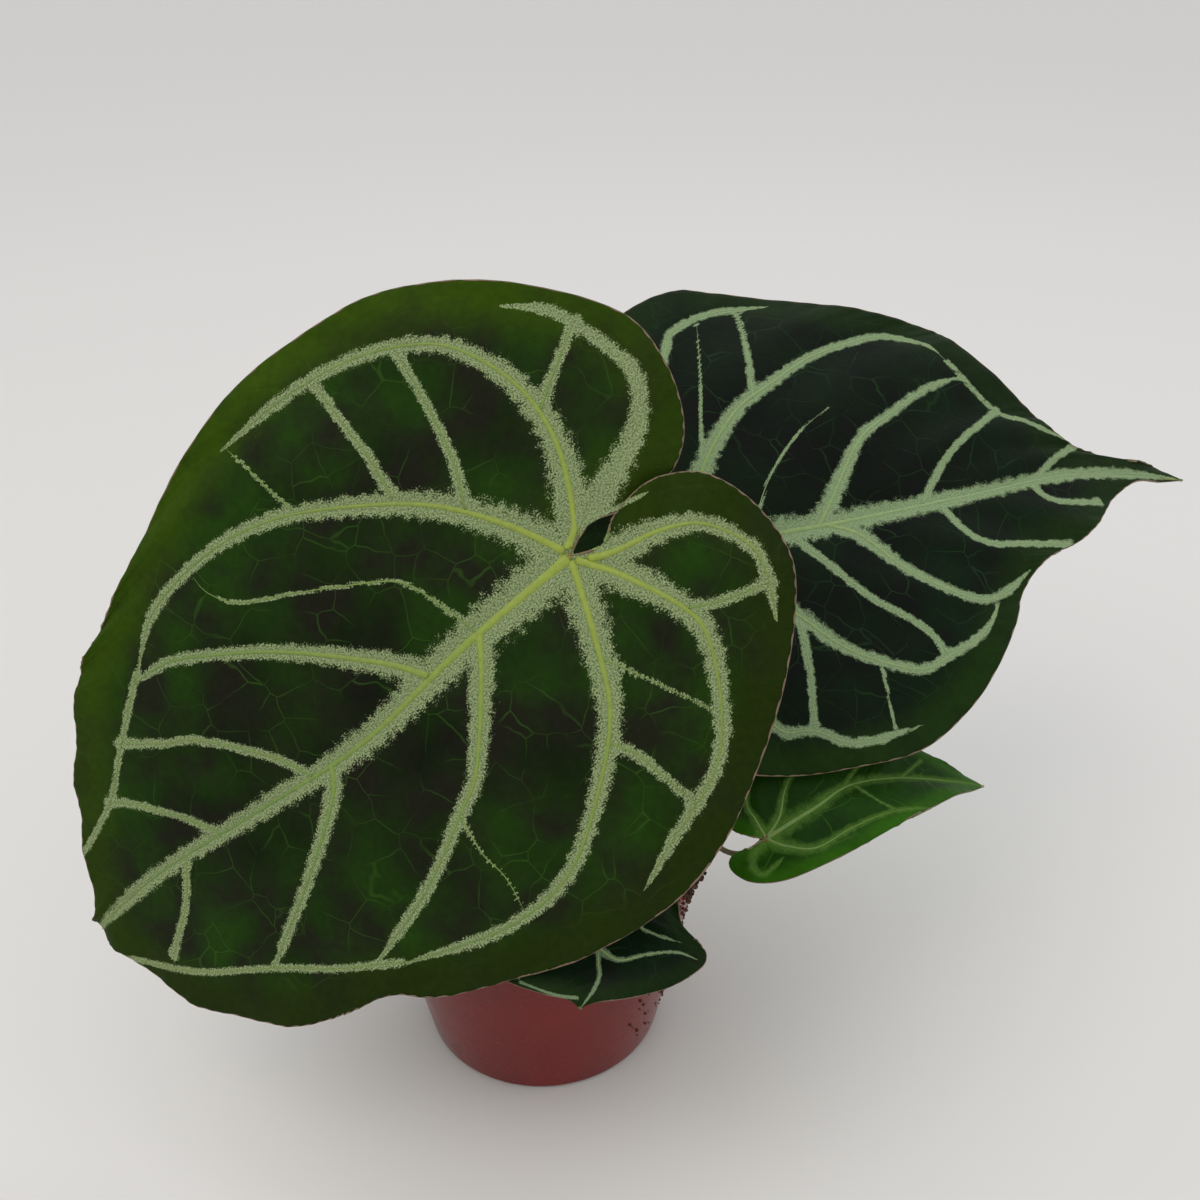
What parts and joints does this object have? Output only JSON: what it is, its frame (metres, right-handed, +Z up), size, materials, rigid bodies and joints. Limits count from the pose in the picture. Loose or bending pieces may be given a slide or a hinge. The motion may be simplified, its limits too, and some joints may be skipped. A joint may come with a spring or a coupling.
{
  "type": "potted crystal anthurium",
  "caption": "Young velvet-leaved aroid: heart-shaped leaves with pale silver veins on slender stalks, growing from a short crown in a tapered plastic nursery pot filled with bark mix.",
  "frame": {"origin": "centre of the pot's flat underside, on the surface that it stands on", "axes": "+Z up along the pot's axis; the upper face of the large leaf faces -Y; +X points to the tip of the second leaf"},
  "size_m": [0.3829, 0.2074, 0.2683],
  "materials": {
    "pot_plastic": "glossy, injection moulded, deep red brown",
    "bark_mix": "matt, crumbly bark and fibre",
    "crown_tissue": "matt, fibrous, with dry sheaths",
    "leaf_stalk": "smooth, waxy green",
    "velvet_leaf": "velvety dark green with frosted silver veins",
    "dark_leaf": "silky blackish green with frosted silver veins",
    "young_leaf": "smooth fresh green with pale veins"
  },
  "bodies": {
    "root": {"pot": "pot_plastic", "potting_mix": "bark_mix", "crown": "crown_tissue", "petiole_1": "leaf_stalk", "petiole_2": "leaf_stalk", "petiole_3": "leaf_stalk", "petiole_4": "leaf_stalk", "blade_1": "velvet_leaf", "blade_2": "dark_leaf", "blade_3": "young_leaf", "blade_4": "dark_leaf"}
  },
  "joints": []
}
